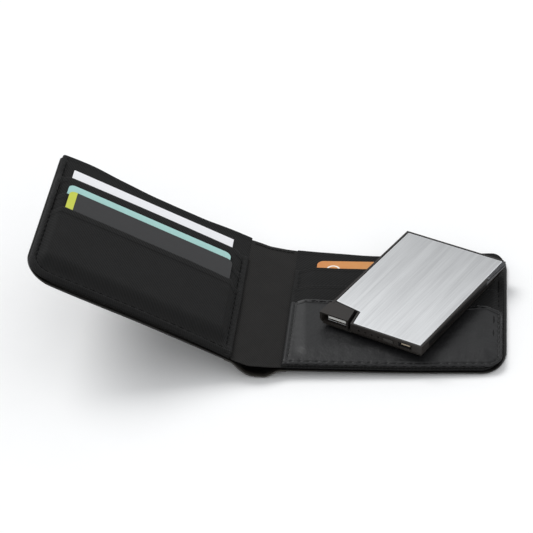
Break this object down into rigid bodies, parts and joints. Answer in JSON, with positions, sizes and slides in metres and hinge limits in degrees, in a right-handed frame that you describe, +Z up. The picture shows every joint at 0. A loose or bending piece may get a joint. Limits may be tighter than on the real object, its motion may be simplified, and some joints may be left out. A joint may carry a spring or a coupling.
{
  "type": "bifold wallet with power bank",
  "caption": "Open leather bifold wallet with cloth card slots holding cards, a leather pocket, and a slim card-size power bank lying on one half.",
  "frame": {"origin": "middle of the footprint, at table level", "axes": "+Z up from the table, +X to the right across the open wallet, +Y away from its near edge, towards the open mouths of the slots"},
  "size_m": [0.2176, 0.1034, 0.064],
  "materials": {
    "cover_leather": "black grained leather, semi-gloss",
    "pocket_leather": "smooth black leather with a soft sheen",
    "pocket_cloth": "black twill",
    "spine_cloth": "black ribbed cloth",
    "bill_cloth": "black plain weave",
    "welt_cloth": "black turned-in cloth",
    "thread": "black polyester thread",
    "white_paper": "matt white card stock",
    "teal_print": "printed card, satin",
    "grey_print": "printed card, satin",
    "lime_print": "printed card, satin",
    "orange_print": "printed card, gradient from orange to amber",
    "bank_plastic": "black moulded plastic, fine texture",
    "brushed_plate": "brushed along its length, bright cut edges",
    "bright_steel": "plated steel",
    "gold_contacts": "gold-plated",
    "white_plastic": "natural moulding",
    "cable_plastic": "soft black ribbon",
    "grip_plastic": "grey moulded plastic",
    "cell_foil": "pouch foil",
    "tape": "double-sided tape",
    "board_green": "coated laminate",
    "chip_black": "moulded packages"
  },
  "bodies": {
    "right_half": {"outer_cover_right": "cover_leather", "bill_lining_right": "bill_cloth", "inner_panel_right": "pocket_cloth", "near_welt_right": "welt_cloth", "outer_welt_right": "welt_cloth", "fold_welt_right": "welt_cloth", "edge_stitching_right": "thread", "right_card_pocket_1": "pocket_cloth", "right_card_pocket_2": "pocket_cloth", "leather_pocket": "pocket_leather", "leather_pocket_hem": "pocket_leather", "hem_stitching": "thread"},
    "spine": {"outer_cover_spine": "cover_leather", "spine_lining": "spine_cloth", "spine_stitching": "thread"},
    "left_half": {"outer_cover_left": "cover_leather", "bill_lining_left": "bill_cloth", "inner_panel_left": "pocket_cloth", "near_welt_left": "welt_cloth", "outer_welt_left": "welt_cloth", "fold_welt_left": "welt_cloth", "edge_stitching_left": "thread", "left_card_pocket_1": "pocket_cloth", "left_card_pocket_2": "pocket_cloth", "left_card_pocket_3": "pocket_cloth"},
    "white_card": {"white_card": "white_paper"},
    "teal_card": {"teal_card": "teal_print"},
    "dark_card": {"dark_card": "grey_print", "dark_card_band": "lime_print"},
    "orange_card": {"orange_card": "orange_print"},
    "power_bank": {"bank_tray": "bank_plastic", "bank_bezel": "bank_plastic", "bank_top_plate": "brushed_plate", "battery_cell": "cell_foil", "battery_tape": "tape", "circuit_board": "board_green", "board_posts": "bank_plastic", "board_chips": "chip_black", "charging_socket": "bright_steel", "charging_socket_tongue": "white_plastic", "led_light_pipes": "white_plastic", "charge_leds": "white_plastic", "tactile_switch": "chip_black"},
    "power_button": {"power_button": "bank_plastic"},
    "supply_plug": {"supply_plug_hood": "bank_plastic", "supply_plug_shell": "bright_steel", "supply_plug_tongue": "white_plastic", "supply_plug_contacts": "gold_contacts", "supply_plug_strap": "cable_plastic"},
    "charging_lead": {"charging_lead_ribbon": "cable_plastic", "charging_plug_grip": "grip_plastic", "charging_plug_shell": "bright_steel", "charging_plug_tongue": "white_plastic"}
  },
  "joints": [
    {"name": "spine_fold", "type": "hinge", "parent": "right_half", "child": "spine", "pos_m": [0.00578, -0.0517, 0.00582], "axis": [0, 1, 0], "range_deg": [-11.5, 76.5]},
    {"name": "left_fold", "type": "hinge", "parent": "spine", "child": "left_half", "pos_m": [-0.01701, -0.0517, 0.01113], "axis": [0, 1, 0], "range_deg": [-11.5, 76.5]},
    {"name": "white_card_slide", "type": "slide", "parent": "left_half", "child": "white_card", "axis": [0, 1, 0], "range_m": [0, 0.045]},
    {"name": "teal_card_slide", "type": "slide", "parent": "left_half", "child": "teal_card", "axis": [0, 1, 0], "range_m": [0, 0.045]},
    {"name": "dark_card_slide", "type": "slide", "parent": "left_half", "child": "dark_card", "axis": [0, 1, 0], "range_m": [0, 0.038]},
    {"name": "orange_card_slide", "type": "slide", "parent": "right_half", "child": "orange_card", "axis": [0, 1, 0], "range_m": [0, 0.045]},
    {"name": "bank_slide", "type": "slide", "parent": "right_half", "child": "power_bank", "axis": [0.4647, 0.8854, -0.0132], "range_m": [0, 0.06]},
    {"name": "button_press", "type": "slide", "parent": "power_bank", "child": "power_button", "axis": [0.4647, 0.8854, -0.0132], "range_m": [0, 0.0004], "stiffness_N_per_m": 600},
    {"name": "supply_plug_pull", "type": "slide", "parent": "power_bank", "child": "supply_plug", "axis": [-0.4647, -0.8854, 0.0132], "range_m": [0, 0.014]},
    {"name": "charging_lead_swing", "type": "hinge", "parent": "power_bank", "child": "charging_lead", "pos_m": [0.07294, -0.03872, 0.01057], "axis": [-0.0283, 0, -0.9996], "range_deg": [0, 90]}
  ],
  "couplings": [
    {"joint": "left_fold", "follows": "spine_fold", "ratio": 1}
  ]
}
